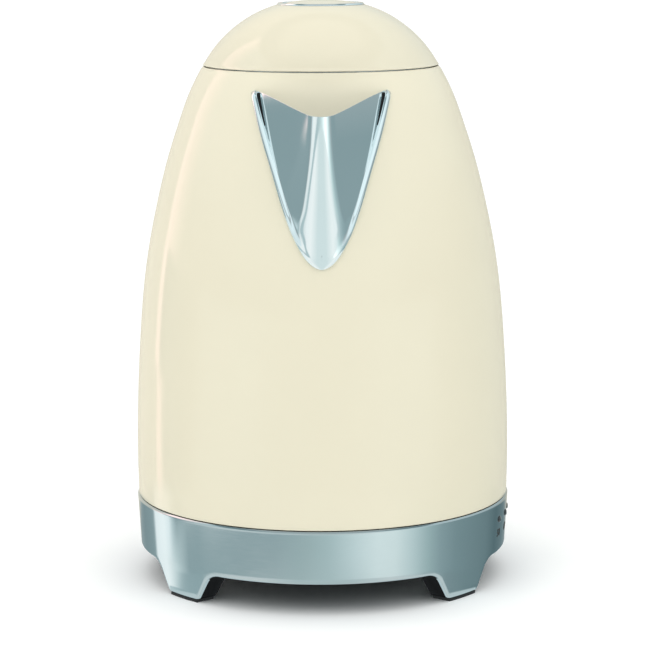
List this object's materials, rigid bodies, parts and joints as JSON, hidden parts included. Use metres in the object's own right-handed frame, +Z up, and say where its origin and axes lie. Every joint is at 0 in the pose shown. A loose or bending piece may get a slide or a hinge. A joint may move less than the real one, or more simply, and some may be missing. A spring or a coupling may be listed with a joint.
{
  "type": "electric kettle",
  "caption": "Cordless dome-lidded electric kettle with a chrome V-shaped beak spout, rear loop handle and a footed swivel base with indicator lights and small ball-ended levers.",
  "frame": {"origin": "on the kettle's vertical axis, in the plane under the four foot pads", "axes": "+Z up, -Y along the spout, +Y along the handle, +X towards the row of temperature lights"},
  "size_m": [0.1641, 0.227, 0.252],
  "materials": {
    "ring_metal": "fine brushed satin, faintly cool",
    "chrome": "polished, mirror bright",
    "body_enamel": "gloss cream enamel",
    "lid_enamel": "gloss cream enamel",
    "plastic_black": "fine moulded texture",
    "plastic_grey": "fine moulded texture",
    "rubber_black": "matt, slightly textured",
    "fastener_steel": "bright zinc",
    "spring_steel": "drawn wire",
    "board_green": "solder mask",
    "relay_blue": "moulded case",
    "lens_dark": "smoked domed lens",
    "inner_steel": "satin stainless",
    "aluminium": "plain rolled",
    "element_steel": "heat-toned sheath",
    "silicone_white": "matt silicone",
    "silicone_grey": "matt silicone",
    "window_clear": "clear moulded window",
    "grip_dark": "soft-touch"
  },
  "bodies": {
    "base": {"base_ring": "ring_metal", "foot_pads": "rubber_black", "base_top_plate": "plastic_black", "base_bottom_cover": "plastic_black", "base_screws": "fastener_steel", "cord_gland": "rubber_black", "base_connector": "plastic_black", "control_board": "board_green", "power_relay": "relay_blue", "led_carrier": "plastic_black", "indicator_lenses": "lens_dark", "lever_brackets": "fastener_steel", "lever_pins": "fastener_steel", "lever_switches": "plastic_grey"},
    "connector_ring": {"connector_shutter": "plastic_grey"},
    "jug": {"body_shell": "body_enamel", "collar": "plastic_grey", "heater_plate": "inner_steel", "heat_spreader": "aluminium", "heating_element": "element_steel", "thermostat_control": "plastic_grey", "temperature_probe": "inner_steel", "probe_seal": "silicone_white", "jug_bottom_cover": "plastic_black", "jug_screws": "fastener_steel", "jug_connector": "plastic_black", "spout": "chrome", "spout_gasket": "silicone_grey", "level_window": "window_clear", "window_gasket": "silicone_grey", "handle_top_mount": "chrome", "handle_lower_mount": "chrome", "handle_grip": "chrome", "handle_insert": "grip_dark", "handle_screws": "fastener_steel", "hinge_bracket": "chrome", "lid_hinge_pin": "fastener_steel"},
    "lid": {"lid_cap": "lid_enamel", "button_ring": "chrome", "lid_carrier": "plastic_grey", "lid_inner": "inner_steel", "lid_screws": "fastener_steel", "lid_seal": "silicone_white", "lid_hinge_arm": "plastic_grey", "button_spring": "spring_steel", "latch_spring": "spring_steel"},
    "lid_button": {"lid_button": "lid_enamel"},
    "latch": {"latch_bolt": "plastic_grey"},
    "filter": {"filter_frame": "plastic_grey", "filter_mesh": "inner_steel"},
    "start_lever": {"start_lever": "chrome"},
    "temperature_lever": {"temperature_lever": "chrome"}
  },
  "joints": [
    {"name": "jug_swivel", "type": "hinge", "parent": "base", "child": "connector_ring", "pos_m": [0, 0, 0.036], "axis": [0, 0, 1], "continuous": true},
    {"name": "jug_lift", "type": "slide", "parent": "connector_ring", "child": "jug", "axis": [0, 0, 1], "range_m": [0, 0.04]},
    {"name": "lid_hinge", "type": "hinge", "parent": "jug", "child": "lid", "pos_m": [0, 0.0545, 0.2265], "axis": [-1, 0, 0], "range_deg": [0, 78]},
    {"name": "button_press", "type": "slide", "parent": "lid", "child": "lid_button", "axis": [0, 0, -1], "range_m": [0, 0.003], "stiffness_N_per_m": 600, "springref_m": -0.002, "deforming": ["button_spring"]},
    {"name": "latch_slide", "type": "slide", "parent": "lid", "child": "latch", "axis": [0, 1, 0], "range_m": [0, 0.003], "deforming": ["latch_spring"]},
    {"name": "filter_pull", "type": "slide", "parent": "jug", "child": "filter", "axis": [0, 1, 0], "range_m": [0, 0.025]},
    {"name": "start_lever_press", "type": "hinge", "parent": "base", "child": "start_lever", "pos_m": [0.05266, 0.0491, 0.0245], "axis": [-0.682, 0.7314, 0], "range_deg": [-9, 9], "stiffness_Nm_per_rad": 0.3},
    {"name": "temperature_lever_press", "type": "hinge", "parent": "base", "child": "temperature_lever", "pos_m": [0.04026, 0.05969, 0.0245], "axis": [-0.829, 0.5592, 0], "range_deg": [-9, 9], "stiffness_Nm_per_rad": 0.3}
  ],
  "couplings": [
    {"joint": "latch_slide", "follows": "button_press", "ratio": 1}
  ]
}
